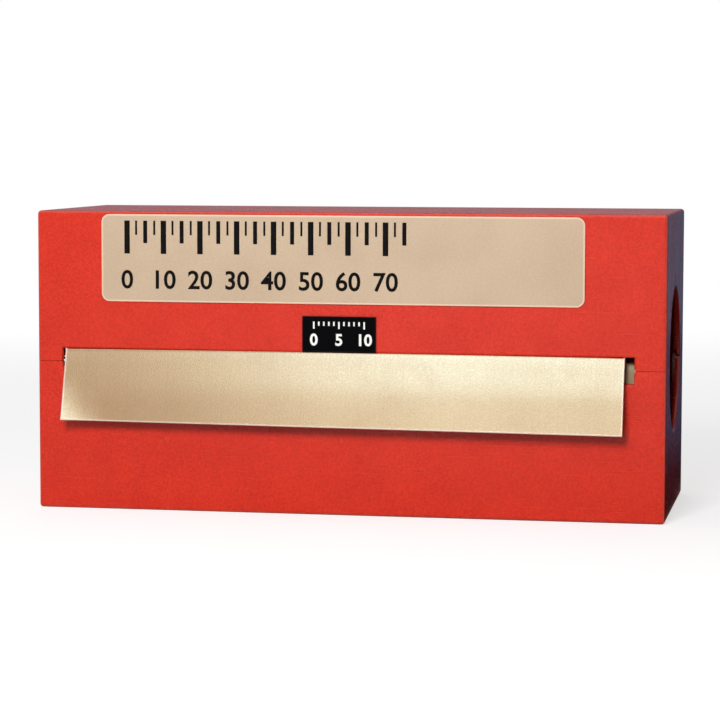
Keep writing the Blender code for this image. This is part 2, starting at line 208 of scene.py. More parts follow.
def makeEdgeGroup():
    # 1 on the edges of a box, fading over Width; a point's second smallest distance to
    # the box's faces is its distance to the nearest edge
    tree, given, put = newGroup("boxEdges",
                                [("Vector", "NodeSocketVector"), ("Centre", "NodeSocketVector"),
                                 ("Half Size", "NodeSocketVector"),
                                 ("Width", "NodeSocketFloat")],
                                [("Edge", "NodeSocketFloat")])
    offset = vectorNode(tree, "SUBTRACT", given["Vector"], given["Centre"])
    depth = vectorNode(tree, "SUBTRACT", given["Half Size"],
                       vectorNode(tree, "ABSOLUTE", offset))
    across, back, up = splitAxes(tree, depth)
    lower = mathNode(tree, "MINIMUM", across, back)
    upper = mathNode(tree, "MAXIMUM", across, back)
    second = mathNode(tree, "MAXIMUM", lower, mathNode(tree, "MINIMUM", upper, up))
    chips = noiseNode(tree, given["Vector"], 420.0, 3.0, 0.7)
    reach = mathNode(tree, "MULTIPLY", given["Width"], mathNode(tree, "ADD", chips, 0.2))
    ratio = mathNode(tree, "DIVIDE", second, reach)
    tree.links.new(ramp(tree, ratio, 0.35, 1.0, 1.0, 0.0), put["Edge"])
    return tree


def makeRimGroup():
    # 1 on the rim of a rounded rectangle that stands in the XZ plane
    tree, given, put = newGroup("roundedRim",
                                [("Vector", "NodeSocketVector"), ("Centre X", "NodeSocketFloat"),
                                 ("Centre Z", "NodeSocketFloat"),
                                 ("Half Width", "NodeSocketFloat"),
                                 ("Half Height", "NodeSocketFloat"),
                                 ("Radius", "NodeSocketFloat"), ("Rim", "NodeSocketFloat")],
                                [("Rim", "NodeSocketFloat"), ("Outside", "NodeSocketFloat")])
    axes = splitAxes(tree, given["Vector"])
    pulled = []
    for axis, centre, half in (("X", "Centre X", "Half Width"), ("Z", "Centre Z", "Half Height")):
        away = mathNode(tree, "SUBTRACT", axes[axis], given[centre])
        away = mathNode(tree, "ABSOLUTE", away)
        core = mathNode(tree, "SUBTRACT", given[half], given["Radius"])
        pulled.append(mathNode(tree, "MAXIMUM", mathNode(tree, "SUBTRACT", away, core), 0.0))
    square = mathNode(tree, "ADD", mathNode(tree, "MULTIPLY", pulled[0], pulled[0]),
                      mathNode(tree, "MULTIPLY", pulled[1], pulled[1]))
    inside = mathNode(tree, "SUBTRACT", given["Radius"], mathNode(tree, "SQRT", square))
    ratio = mathNode(tree, "DIVIDE", inside, given["Rim"])
    tree.links.new(ramp(tree, ratio, 0.7, 1.3, 1.0, 0.0), put["Rim"])
    tree.links.new(ramp(tree, ratio, -1.0, -0.4, 0.0, 1.0), put["Outside"])
    return tree


grainGroup = makeGrainGroup()
handlingGroup = makeHandlingGroup()
edgeGroup = makeEdgeGroup()
rimGroup = makeRimGroup()
print("Shim stock roll: shared effects made")


# Mesh helpers

def meshObject(name, bm, materials):
    mesh = bpy.data.meshes.new(name)
    bm.to_mesh(mesh)
    bm.free()
    for material in materials:
        mesh.materials.append(material)
    piece = bpy.data.objects.new(name, mesh)
    bpy.context.scene.collection.objects.link(piece)
    return piece


def shadeRound(piece, sharpAngle):
    # smooth rounds beside truly flat faces
    piece.data.shade_smooth()
    piece.data.set_sharp_from_angle(angle=math.radians(sharpAngle))
    flat = piece.modifiers.new("flatFaces", "WEIGHTED_NORMAL")
    flat.keep_sharp = True
    flat.weight = 100


# The case: both halves, in glossy red moulded plastic

case = {
    "red": (0.760, 0.038, 0.015, 1.0),
    "deepRed": (0.450, 0.010, 0.005, 1.0),
    "wornRed": (0.760, 0.150, 0.100, 1.0),
    "dust": (0.62, 0.56, 0.52, 1.0),
    "speckle": 0.48,           # how much each effect tints the red
    "blotches": 0.12,
    "edgeWear": 0.35,
    "scratches": 0.04,
    "dustCover": 0.08,
    # strength of the painted shadow line round the labels
    "labelShadowShare": 0.55,
    "roughness": 0.20,
    "rougher": (0.06, 0.05, 0.12, 0.08),   # on blotches, smudges, scratches, worn edges
    "scratchDepth": 0.3,       # of the grain's depth
    "specular": 0.38,
    "grainScale": 1600.0,      # per metre
    "blotchScale": 95.0,
    "sinkScale": 38.0,
    "grainDepth": 0.000012,
    "sinkDepth": 0.00010,      # slow waviness of the moulded walls
    "wearWidth": 0.0011,
    "partingBand": 0.0002,     # edges this near to the parting height close on each other
    "partingClose": 0.00009,   # by this much, so that the line looks finer than its gap
    "labelRadii": {"size_label": 0.0022, "thickness_label": 0.0003},
    "shadeWidth": 0.00035,     # of the painted shadow line round the labels
    "shadeDepth": (0.0005, 0.0010),    # it fades between these depths behind the front
    "mergeDistance": 0.000002,
    "sharpAngle": 34.0,
}


def labelOutline(tree, position, node):
    # painted shadow line on the case round a label
    low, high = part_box(node)
    rim = useGroup(tree, rimGroup, Vector=position, Centre_X=(low.x + high.x) / 2,
                   Centre_Z=(low.z + high.z) / 2, Half_Width=(high.x - low.x) / 2,
                   Half_Height=(high.z - low.z) / 2, Radius=case["labelRadii"][node],
                   Rim=case["shadeWidth"])
    return rim["Outside"]


def makeCasePlastic(name, low, high, labels):
    material, tree, shader, position = newMaterial(name)
    grain = useGroup(tree, grainGroup, Vector=position, Scale=case["grainScale"],
                     Blotch_Scale=case["blotchScale"])
    marks = useGroup(tree, handlingGroup, Vector=position, Scratch_Length=1.0)
    wear = useGroup(tree, edgeGroup, Vector=position, Centre=(low + high) / 2,
                    Half_Size=(high - low) / 2, Width=case["wearWidth"])
    speckle = mathNode(tree, "MULTIPLY", grain["Grain"], case["speckle"])
    blotches = mathNode(tree, "MULTIPLY", grain["Blotch"], case["blotches"])
    color = mixColor(tree, mathNode(tree, "ADD", speckle, blotches), case["red"],
                     case["deepRed"])
    for mask, share, tint in ((wear["Edge"], case["edgeWear"], case["wornRed"]),
                              (marks["Scratches"], case["scratches"], case["wornRed"]),
                              (marks["Dust"], case["dustCover"], case["dust"])):
        color = mixColor(tree, mathNode(tree, "MULTIPLY", mask, share), color, tint)
    # each label gets a painted shadow line round it on the case, fading out behind the front face
    for label in labels:
        start, end = (low.y + depth for depth in case["shadeDepth"])
        front = ramp(tree, splitAxes(tree, position)["Y"], start, end, 1.0, 0.0)
        shade = mathNode(tree, "MULTIPLY", labelOutline(tree, position, label), front)
        color = mixColor(tree, mathNode(tree, "MULTIPLY", shade, case["labelShadowShare"]), color,
                         case["deepRed"])
    tree.links.new(color, shader.inputs["Base Color"])
    masks = (grain["Blotch"], marks["Smudges"], marks["Scratches"], wear["Edge"])
    tree.links.new(roughened(tree, case["roughness"], masks, case["rougher"]),
                   shader.inputs["Roughness"])
    shader.inputs["Specular IOR Level"].default_value = case["specular"]
    fine = mathNode(tree, "SUBTRACT", grain["Grain"],
                    mathNode(tree, "MULTIPLY", marks["Scratches"], case["scratchDepth"]))
    slow = noiseNode(tree, position, case["sinkScale"], 1.0)
    depth = mathNode(tree, "MULTIPLY_ADD", slow, case["sinkDepth"] / case["grainDepth"], fine)
    tree.links.new(bumpNode(tree, depth, case["grainDepth"]), shader.inputs["Normal"])
    return material


def makeCaseHalf(node, name, body, labels=()):
    # the moulding's own shape, merged so that its rounds shade smoothly
    low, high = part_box(node)
    low.y = max(low.y, -case["halfDepth"])
    high.y = min(high.y, case["halfDepth"])
    bm = bmesh.new()
    bm.from_mesh(frame["nodes"][node].data)
    bmesh.ops.remove_doubles(bm, verts=bm.verts, dist=case["mergeDistance"])
    towards = 1.0 if low.z < partingHeight / 2 else -1.0
    for vert in bm.verts:
        atParting = abs(vert.co.z - partingHeight) < case["partingBand"]
        if atParting and abs(vert.co.y) < caseHigh.y:
            vert.co.z += towards * case["partingClose"]
    half = meshObject(name, bm, [makeCasePlastic(name + "Plastic", low, high, labels)])
    shadeRound(half, case["sharpAngle"])
    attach(half, body)
    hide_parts(node)


case["halfDepth"] = -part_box("box_base")[0].y
caseHigh = Vector((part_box("box_base")[1].x, case["halfDepth"] + 0.00001,
                   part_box("box_lid")[1].z))
partingHeight = frame["joints"][0]["pos_m"][2]     # the lid turns at the parting line's height
makeCaseHalf("box_base", "caseBase", "base")
makeCaseHalf("box_lid", "caseLid", "lid", case["labelRadii"])
print("Shim stock roll: case halves finished")


# The foil: one strip from the coil's core, round every turn, out of the slot and down

foil = {
    "width": 0.150,
    "thickness": 0.0001,
    "coilRadius": 0.02962,
    "turns": 13.9,
    "turnPitch": 0.00028,
    "coilCentre": 0.032,       # height of the coil's axis
    "coilShift": 0.0013,       # the coil lies this far to the right
    "tongueShift": -0.00135,
    "turnSteps": 76,
    "endWander": 0.00016,      # how unevenly the turns' edges lie,
    "wanderPace": 2.3,         # and how fast that changes from turn to turn
    "slotTop": 0.04322,
    "slotGap": 0.0003,
    "browRise": (-0.0001, 0.00036),    # height of the bend in front of the slot's top
                                       # edge, at the strip's sides and in its middle
    "browStart": 0.0004,       # the rise starts this far behind the case's front
    "browReach": 0.0006,       # and is complete this far on
    "browFall": 0.004,         # it is gone this far below the slot's top edge
    "bendRadius": 0.0005,
    "dropLeft": 0.0188,
    "dropRight": 0.0198,
    "standoffLeft": 0.0052,
    "standoffRight": 0.0063,
    "bowLeft": ((0.40, 0.30), (0.74, 0.65), (1.0, 1.0)),
    "bowRight": ((0.34, 0.25), (0.60, 0.50), (0.81, 0.757), (1.0, 1.0)),
    "tongueRows": 110,
    "columns": 30,
    "rimBand": 0.00042,        # cut edges curl outwards within this band
    "rimCurl": 0.00003,
    "cornerWidth": 0.0105,     # the lower left corner is bent up over this triangle
    "cornerHeight": 0.0125,
    "cornerLift": 0.0011,
    "liftSlant": 0.3,          # what stands out does so forwards more than downwards
    "waveHeight": 0.00006,
    "wavesAcross": 42.0,       # per metre
    "wavesDown": 60.0,
    "waveCalm": 0.018,         # the waves are faint this far up from the free end
    "brass": (0.800, 0.620, 0.380, 1.0),
    "deepBrass": (0.700, 0.510, 0.290, 1.0),
    "tarnish": (0.560, 0.360, 0.180, 1.0),
    # painted highlight along the cut edges, as if their curled rims caught the light
    "paintedEdgeHighlight": (1.000, 0.760, 0.640, 1.0),
    "lineTint": 0.10,          # how much each effect tints the brass
    "speckle": 0.62,
    "blotches": 0.08,
    "stains": 0.10,
    # share of the painted edge highlight
    "edgeHighlightShare": 0.8,
    "edgeDull": 0.55,          # the painted edge highlight band is this much less metallic
    "paintedShadeTurns": 0.43,       # the wound turns inside the case are painted this much darker, as painted shade,
    "paintedShadeFrom": (0.0225, 0.0245),    # from here on, counted from the free end
    "roughness": 0.17,
    "rougher": (0.04, 0.03, 0.04, 0.06),   # in the grain, blotches, smudges, scratches
    "grainScale": 2600.0,
    "blotchScale": 70.0,
    "lineScale": 1700.0,       # rolling lines, drawn out along the strip
    "lineStretch": 0.012,
    "lineDepth": 0.12,         # of the grain's depth
    "stainScale": 34.0,
    "grainDepth": 0.000006,
}


def coilPoint(angle, radius):
    # angle is counted from the coil's front up and over
    return Vector((-radius * math.cos(angle), foil["coilCentre"] + radius * math.sin(angle)))


def smoothThrough(knots, rows):
    # evenly spaced points on a smooth curve through the knots, without the first one
    dense = []
    for index in range(len(knots) - 1):
        first, second = knots[index], knots[index + 1]
        before = knots[max(index - 1, 0)]
        after = knots[min(index + 2, len(knots) - 1)]
        reach = (second - first).length / 3
        startWay = (second - before).normalized() * reach
        endWay = (after - first).normalized() * reach
        for step in range(40):
            share = step / 40
            one = first.lerp(first + startWay, share)
            two = (first + startWay).lerp(second - endWay, share)
            three = (second - endWay).lerp(second, share)
            dense.append(one.lerp(two, share).lerp(two.lerp(three, share), share))
    dense.append(knots[-1].copy())
    lengths = [0.0]
    for first, second in zip(dense, dense[1:]):
        lengths.append(lengths[-1] + (second - first).length)
    picked = []
    place = 0
    for row in range(1, rows + 1):
        goal = lengths[-1] * row / rows
        while place < len(lengths) - 2 and lengths[place + 1] < goal:
            place += 1
        share = (goal - lengths[place]) / (lengths[place + 1] - lengths[place])
        picked.append(dense[place].lerp(dense[place + 1], min(share, 1.0)))
    return picked


def coilRoute(leaveAngle):
    # every turn from the core outwards, ending where the strip leaves the coil
    steps = round(foil["turns"] * foil["turnSteps"])
    points = []
    for step in range(steps, -1, -1):
        turnsIn = step / foil["turnSteps"]
        points.append(coilPoint(leaveAngle + math.tau * turnsIn,
                                foil["coilRadius"] - foil["turnPitch"] * turnsIn))
    return points


def tongueRoute(start, standoff, drop, bow):
    front = -case["halfDepth"]
    bend = foil["bendRadius"]
    entry = Vector((-foil["coilRadius"] - foil["thickness"], foil["slotTop"] - foil["slotGap"]))
    brow = Vector((front, foil["slotTop"]))
    nose = Vector((front - bend, foil["slotTop"] - bend))
    knots = [start, entry, brow, nose]
    for out, down in bow:
        knots.append(Vector((front - standoff * out, foil["slotTop"] - drop * down)))
    return smoothThrough(knots, foil["tongueRows"])


def browLift(across, height):
    # the strip's middle bows up where it bends over the slot, and settles inside the case
    # and down the tongue
    side, middle = foil["browRise"]
    rise = side + (middle - side) * 4.0 * across * (1.0 - across)
    below = (foil["slotTop"] - height) / foil["browFall"]
    return rise * max(0.0, 1.0 - max(0.0, below)) ** 2


def columnShares():
    # places across the strip, closer together in the curled rims
    band = foil["rimBand"] / foil["width"]
    inner = foil["columns"] - 4
    shares = [0.0, band / 2]
    shares += [band + (1 - 2 * band) * step / inner for step in range(inner + 1)]
    return shares + [1.0 - band / 2, 1.0]


def tongueLift(fromLeft, fromEnd):
    # how far the hanging part stands out beyond its route: curled rims, a bent corner
    # and the faint waves of thin sheet
    lift = 0.0
    fromRight = foil["width"] - fromLeft
    for distance in (fromLeft, fromRight, fromEnd):
        share = max(0.0, 1.0 - distance / foil["rimBand"])
        lift += foil["rimCurl"] * share * share
    corner = 1.0 - fromLeft / foil["cornerWidth"] - fromEnd / foil["cornerHeight"]
    if corner > 0.0:
        lift += foil["cornerLift"] * corner * corner
    wave = noise.noise(Vector((fromLeft * foil["wavesAcross"], fromEnd * foil["wavesDown"],
                               3.7)))
    ease = min(1.0, fromEnd / foil["waveCalm"])
    return lift + foil["waveHeight"] * wave * (1.0 - 0.6 * ease)


def makeBrass(foilLength):
    material, tree, shader, position = newMaterial("rolledBrass")
    run = tree.nodes.new("ShaderNodeUVMap")
    run.uv_map = "foilRun"
    grain = useGroup(tree, grainGroup, Vector=position, Scale=foil["grainScale"],
                     Blotch_Scale=foil["blotchScale"])
    marks = useGroup(tree, handlingGroup, Vector=position, Scratch_Length=1.3)
    along = stretched(tree, run.outputs["UV"], (1.0, foil["lineStretch"], 1.0))
    lines = noiseNode(tree, along, foil["lineScale"], 2.0)
    streak = ramp(tree, lines, 0.35, 0.70)
    stain = ramp(tree, noiseNode(tree, position, foil["stainScale"], 4.0, 0.6), 0.56, 0.76)
    tone = mathNode(tree, "MULTIPLY_ADD", streak, foil["lineTint"],
                    mathNode(tree, "MULTIPLY", grain["Grain"], foil["speckle"]))
    tone = mathNode(tree, "MULTIPLY_ADD", grain["Blotch"], foil["blotches"], tone)
    color = mixColor(tree, tone, foil["brass"], foil["deepBrass"])
    color = mixColor(tree, mathNode(tree, "MULTIPLY", stain, foil["stains"]), color,
                     foil["tarnish"])
    # painted highlight as a bright band along both cut sides and the end, and painted shade
    # darkening the wound turns inside the case
    fromLeft, fromCore, _ = splitAxes(tree, run.outputs["UV"])
    side = mathNode(tree, "MINIMUM", fromLeft,
                    mathNode(tree, "SUBTRACT", foil["width"], fromLeft))
    toEnd = mathNode(tree, "SUBTRACT", foilLength, fromCore)
    nearest = mathNode(tree, "MINIMUM", side, toEnd)
    # painted highlight: this mask is a bright band along both cut sides and the end
    rim = ramp(tree, nearest, foil["rimBand"] * 0.6, foil["rimBand"] * 1.1, 1.0, 0.0)
    # painted shade: the wound turns inside the case are darkened towards black, and the painted
    # edge highlight there is dimmed with them
    wound = ramp(tree, toEnd, *foil["paintedShadeFrom"], 1.0, foil["paintedShadeTurns"])
    color = mixColor(tree, mathNode(tree, "SUBTRACT", 1.0, wound), color,
                     (0.0, 0.0, 0.0, 1.0))
    rim = mathNode(tree, "MULTIPLY", rim, wound)
    color = mixColor(tree, mathNode(tree, "MULTIPLY", rim, foil["edgeHighlightShare"]), color,
                     foil["paintedEdgeHighlight"])
    tree.links.new(color, shader.inputs["Base Color"])
    tree.links.new(mathNode(tree, "MULTIPLY_ADD", rim, -foil["edgeDull"], 1.0),
                   shader.inputs["Metallic"])
    masks = (grain["Grain"], grain["Blotch"], marks["Smudges"], marks["Scratches"])
    tree.links.new(roughened(tree, foil["roughness"], masks, foil["rougher"]),
                   shader.inputs["Roughness"])
    height = mathNode(tree, "MULTIPLY_ADD", streak, foil["lineDepth"], grain["Grain"])
    tree.links.new(bumpNode(tree, height, foil["grainDepth"]), shader.inputs["Normal"])
    return material


def tonguePlace(sides, step, across, fromEnd):
    # a point of the hanging part, on the straight line between its two side routes
    left, right = sides
    section = left[step].lerp(right[step], across)
    near = left[max(step - 1, 0)].lerp(right[max(step - 1, 0)], across)
    outward = Vector((section.y - near.y, near.x - section.x))
    pastFront = -case["halfDepth"] - section.x
    started = (pastFront + foil["browStart"]) / foil["browReach"]
    risen = min(1.0, max(0.0, started)) ** 2
    section = section + Vector((0.0, risen * browLift(across, section.y)))
    if pastFront > 0.0 and outward.length > 0.0:
        lift = tongueLift(across * foil["width"], fromEnd)
        outward.y *= foil["liftSlant"]
        section = section + outward.normalized() * lift
    return section


def makeFoil():
    entry = Vector((-foil["coilRadius"] - foil["thickness"],
                    foil["slotTop"] - foil["slotGap"] - foil["coilCentre"]))
    leaveAngle = math.atan2(entry.y, -entry.x) + math.acos(foil["coilRadius"] / entry.length)
    turns = coilRoute(leaveAngle)
    sides = [tongueRoute(turns[-1], foil["standoff" + side], foil["drop" + side],
                         foil["bow" + side]) for side in ("Left", "Right")]
    shares = columnShares()
    rows = len(turns) + foil["tongueRows"] - 1
    bm = bmesh.new()
    bmesh.ops.create_grid(bm, x_segments=len(shares) - 1, y_segments=rows, size=0.5)
    runLayer = bm.loops.layers.uv.new("foilRun")
    lengths = [0.0]
    middle = turns + [left.lerp(right, 0.5) for left, right in zip(*sides)]
    for first, second in zip(middle, middle[1:]):
        lengths.append(lengths[-1] + (second - first).length)
    places = {}
    for vert in bm.verts:
        column = round((vert.co.x + 0.5) * (len(shares) - 1))
        row = round((vert.co.y + 0.5) * rows)
        across = shares[column]
        places[vert] = (across * foil["width"], lengths[row])
        if row < len(turns):
            section = turns[row]
            turn = row / foil["turnSteps"]
            wander = noise.noise(Vector((turn * foil["wanderPace"], 0.0, 9.1)))
            wander *= foil["endWander"]
            drift = max(0.0, 1.0 - (len(turns) - 1 - row) / foil["turnSteps"])
        else:
            section = tonguePlace(sides, row - len(turns), across, lengths[-1] - lengths[row])
            wander = 0.0
            drift = 1.0
        # over its last turn the strip drifts from the coil's middle to the tongue's
        drift = drift * drift * (3 - 2 * drift)
        shift = foil["coilShift"] + (foil["tongueShift"] - foil["coilShift"]) * drift
        shift += wander * (1.0 - drift)
        vert.co = (shift + (across - 0.5) * foil["width"], section.x, section.y)
    for face in bm.faces:
        for loop in face.loops:
            loop[runLayer].uv = places[loop.vert]
    strip = meshObject("brassFoil", bm, [makeBrass(lengths[-1])])
    strip.data.shade_smooth()
    gauge = strip.modifiers.new("gauge", "SOLIDIFY")
    gauge.thickness = foil["thickness"]
    gauge.offset = 0.0
    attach(strip, "base")
    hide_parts("shim_foil")


makeFoil()
print("Shim stock roll: foil wound and drawn out")


# The two labels on the lid, with plain scales and numbers in place of words

sizeLabel = {
    "finishes": ("beigeFilm", "blackInk"),
    "radius": case["labelRadii"]["size_label"],
    "edgeRound": 0.00010,
    "film": (0.700, 0.540, 0.380, 1.0),
    "filmShade": (0.580, 0.430, 0.290, 1.0),
    "rim": (0.900, 0.660, 0.480, 1.0),
    "rimWidth": 0.00045,
    "ink": (0.004, 0.003, 0.003, 1.0),
    "roughness": 0.42,
    "specular": 0.35,
    "metallic": 0.25,
    "inkHeight": 0.00002,
    "ticks": 31,
    "tickPitch": 0.0025,
    "ticksIn": 0.0071,         # the first tick's place from the film's left edge
    "ticksDown": 0.0017,       # their tops below the film's top edge
    "tickKinds": ((4, 0.0088, 0.00150), (2, 0.0060, 0.00110), (1, 0.0038, 0.00055)),
    "numbers": range(0, 80, 10),
    "numberEvery": 4,          # ticks
    "numberHeight": 0.0050,
    "numbersUp": 0.003625,     # their feet above the film's lower edge
}

gaugeLabel = {
    "finishes": ("blackFilm", "whiteInk"),
    "radius": case["labelRadii"]["thickness_label"],
    "edgeRound": 0.00008,
    "film": (0.0015, 0.0015, 0.0020, 1.0),
    "filmShade": (0.0035, 0.0030, 0.0035, 1.0),
    "rim": (0.012, 0.011, 0.012, 1.0),
    "rimWidth": 0.00020,
    "ink": (0.86, 0.84, 0.80, 1.0),
    "roughness": 0.50,
    "specular": 0.04,
    "metallic": 0.0,
    "inkHeight": 0.00002,
    "ticks": 11,
    "tickPitch": 0.00135,
    "ticksIn": 0.00315,
    "ticksDown": 0.0014,
    "tickKinds": ((5, 0.0019, 0.00042), (1, 0.0011, 0.00042)),
    "numbers": (0, 5, 10),
    "numberEvery": 5,
    "numberHeight": 0.0031,
    "numbersUp": 0.0018,
}

printing = {
    "speckle": 0.45,           # how much each effect tints a film
    "blotches": 0.30,
    "rougher": (0.05, 0.06, 0.15),     # on blotches, smudges, scratches
    "filmGrain": 2100.0,       # per metre
    "filmBlotches": 60.0,
    "filmDepth": 0.000005,
    "inkGrain": 3000.0,
    "inkBlotches": 300.0,
    "inkRoughness": 0.55,
    "inkRougher": 0.10,        # on blotches
    "inkSpecular": 0.10,
    "figureShare": 0.73,       # the figures are this share of the type's size
    "stroke": 0.00012,         # the figures' strokes are widened by this
    "mergeDistance": 0.000002,
    "sharpAngle": 40.0,
}


def makeFilm(name, look, low, high):
    material, tree, shader, position = newMaterial(name)
    centre = (low + high) / 2
    grain = useGroup(tree, grainGroup, Vector=position, Scale=printing["filmGrain"],
                     Blotch_Scale=printing["filmBlotches"])
    marks = useGroup(tree, handlingGroup, Vector=position, Scratch_Length=1.1)
    rim = useGroup(tree, rimGroup, Vector=position, Centre_X=centre.x, Centre_Z=centre.z,
                   Half_Width=(high.x - low.x) / 2, Half_Height=(high.z - low.z) / 2,
                   Radius=look["radius"], Rim=look["rimWidth"])
    tone = mathNode(tree, "MULTIPLY_ADD", grain["Grain"], printing["speckle"],
                    mathNode(tree, "MULTIPLY", grain["Blotch"], printing["blotches"]))
    color = mixColor(tree, tone, look["film"], look["filmShade"])
    color = mixColor(tree, rim["Rim"], color, look["rim"])
    tree.links.new(color, shader.inputs["Base Color"])
    shader.inputs["Metallic"].default_value = look["metallic"]
    shader.inputs["Specular IOR Level"].default_value = look["specular"]
    masks = (grain["Blotch"], marks["Smudges"], marks["Scratches"])
    tree.links.new(roughened(tree, look["roughness"], masks, printing["rougher"]),
                   shader.inputs["Roughness"])
    tree.links.new(bumpNode(tree, grain["Grain"], printing["filmDepth"]),
                   shader.inputs["Normal"])
    return material


def makeInk(name, look):
    material, tree, shader, position = newMaterial(name)
    grain = useGroup(tree, grainGroup, Vector=position, Scale=printing["inkGrain"],
                     Blotch_Scale=printing["inkBlotches"])
    paler = tuple(min(1.0, value * 1.2 + 0.003) for value in look["ink"][:3]) + (1.0,)
    color = mixColor(tree, grain["Grain"], look["ink"], paler)
    tree.links.new(color, shader.inputs["Base Color"])
    tree.links.new(roughened(tree, printing["inkRoughness"], (grain["Blotch"],),
                             (printing["inkRougher"],)), shader.inputs["Roughness"])
    shader.inputs["Specular IOR Level"].default_value = printing["inkSpecular"]
    return material


def addTick(bm, x, top, width, height, face, depth):
    # one printed bar, its front at face - depth
    made = bmesh.ops.create_cube(bm, size=1.0)["verts"]
    bmesh.ops.scale(bm, verts=made, vec=(width, depth, height))
    bmesh.ops.translate(bm, verts=made, vec=(x, face - depth / 2, top - height / 2))
    for vert in made:
        for item in vert.link_faces:
            item.material_index = 1


def addNumber(bm, text, height, x, base, face, depth):
    # plain figures, centred on x and standing on base
    curve = bpy.data.curves.new("figures", "FONT")
    curve.body = text
    curve.size = height / printing["figureShare"]
    curve.align_x = "CENTER"
    curve.extrude = depth / 2
    curve.offset = printing["stroke"]
    curve.resolution_u = 4
    letters = bpy.data.objects.new("figures", curve)
    bpy.context.scene.collection.objects.link(letters)
    bpy.context.view_layer.update()
    depsgraph = bpy.context.evaluated_depsgraph_get()
    mesh = bpy.data.meshes.new_from_object(letters.evaluated_get(depsgraph))
    stand = Matrix.Translation((x, face - depth / 2, base)) @ Matrix.Rotation(math.pi / 2, 4, "X")
    mesh.transform(stand)
    figures = bmesh.new()
    figures.from_mesh(mesh)
    bmesh.ops.remove_doubles(figures, verts=figures.verts, dist=printing["mergeDistance"])
    bmesh.ops.triangulate(figures, faces=figures.faces)
    bmesh.ops.beautify_fill(figures, faces=figures.faces, edges=figures.edges,
                            use_restrict_tag=False, method="AREA")
    bmesh.ops.recalc_face_normals(figures, faces=figures.faces)
    figures.to_mesh(mesh)
    figures.free()
    first = len(bm.faces)
    bm.from_mesh(mesh)
    bm.faces.ensure_lookup_table()
    for item in bm.faces[first:]:
        item.material_index = 1
    bpy.data.objects.remove(letters, do_unlink=True)
    bpy.data.meshes.remove(mesh)


def labelPlate(low, high, radius, edgeRound):
    # a thin film with round corners and a softened front edge
    bm = bmesh.new()
    bmesh.ops.create_cube(bm, size=1.0)
    bmesh.ops.scale(bm, verts=bm.verts, vec=high - low)
    bmesh.ops.translate(bm, verts=bm.verts, vec=(low + high) / 2)
    corners = [edge for edge in bm.edges
               if abs(edge.verts[0].co.y - edge.verts[1].co.y) > (high.y - low.y) / 2]
    bmesh.ops.bevel(bm, geom=corners, offset=radius, affect="EDGES", segments=12,
                    profile=0.5, material=-1)
    front = [edge for edge in bm.edges
             if all(abs(vert.co.y - low.y) < 0.000001 for vert in edge.verts)]
    bmesh.ops.bevel(bm, geom=front, offset=edgeRound, affect="EDGES", segments=3,
                    profile=0.5, material=-1)
    return bm


def makeLabel(node, name, look):
    # the film, a scale of ticks along its top and the numbers under it; a tick is of the
    # first kind (every so many ticks, height, width) that its place in the scale fits
    low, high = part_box(node)
    bm = labelPlate(low, high, look["radius"], look["edgeRound"])
    face, depth = low.y, look["inkHeight"]
    left, top = low.x + look["ticksIn"], high.z - look["ticksDown"]
    for step in range(look["ticks"]):
        tall, width = next(kind[1:] for kind in look["tickKinds"] if step % kind[0] == 0)
        addTick(bm, left + step * look["tickPitch"], top, width, tall, face, depth)
    for step, number in enumerate(look["numbers"]):
        x = left + step * look["numberEvery"] * look["tickPitch"]
        addNumber(bm, str(number), look["numberHeight"], x, low.z + look["numbersUp"], face,
                  depth)
    film, ink = look["finishes"]
    label = meshObject(name, bm, [makeFilm(film, look, low, high), makeInk(ink, look)])
    shadeRound(label, printing["sharpAngle"])
    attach(label, "lid")
    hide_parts(node)


makeLabel("size_label", "sizeLabelFilm", sizeLabel)
makeLabel("thickness_label", "gaugeLabelFilm", gaugeLabel)
print("Shim stock roll: labels printed and stuck on")


# The studio: pale floor, white background, soft lamps and the camera

studio = {
    "floorSize": 12.0,
    "floorColor": (0.50, 0.50, 0.50, 1.0),
    "floorShade": (0.485, 0.485, 0.485, 1.0),
    "floorGrain": 160.0,
    "floorLift": 0.64,
    "fadeStart": 0.35,
    "fadeEnd": 0.95,
    "ambient": 0.36,
    "ambientRight": 0.04,
    "ambientTurn": (-0.1, 0.9),
    "cameraPlace": (0.131623, -0.701677, 0.098780),
    "cameraYaw": -0.188337,
    "cameraPitch": -0.083861,
    "cameraRoll": 0.002001,
    "cameraLens": 129.952,     # mm, on a 36 mm sensor
    "keyPower": 2.96,          # W
    "keyPlace": (-0.02, -0.58, 0.30),
    "keySize": 0.17,
    "backPower": 2.4,
    "backPlace": (-0.20, 0.95, 0.30),
    "backSize": 0.50,
    "lampAim": (0.0, 0.0, 0.04),
    "softboxDepth": 0.60,      # the softbox that the metal mirrors stands this far in front
    "softboxSize": (3.2, 2.2),
    "softboxHeart": -0.075,
    "softboxSpread": 0.25,
    "softboxRise": (0.20, 0.46),
    "softboxFoot": (0.08, 0.48),       # its level below the rise, to the left and the
    "softboxFootSpan": (-0.220, -0.135),   # right of this stretch
    "softboxEdge": (0.222, 0.170, 0.150, 1.0),
    "softboxHalf": (0.460, 0.475, 0.500, 1.0),
    "softboxGlow": (0.640, 0.860, 1.150, 1.0),
    "softboxStrength": 2.42,
    "wallFlag": (0.230, 0.290, 0.330, 1.0),
    "sideFlag": (0.075, 0.150, 0.230, 1.0),
    "tableFlag": (0.030, 0.045, 0.090, 1.0),
    "besideNear": (0.003, 0.006, 0.010, 1.0),
    "besideFar": (0.005, 0.066, 0.130, 1.0),
    "besideFade": (0.04, 0.24),
    "besideStart": -0.035,
    "flagPlace": 0.62,
    "flagSize": (2.6, 1.0),
    "tableStart": 0.060,
    "tableHeight": 0.0005,
}


def seenRay(tree, light):
    # 1 for the rays that see the background: from the camera, in gloss and through glass
    clear = mathNode(tree, "MAXIMUM", light.outputs["Is Glossy Ray"],
                     light.outputs["Is Transmission Ray"])
    return mathNode(tree, "MAXIMUM", light.outputs["Is Camera Ray"], clear)


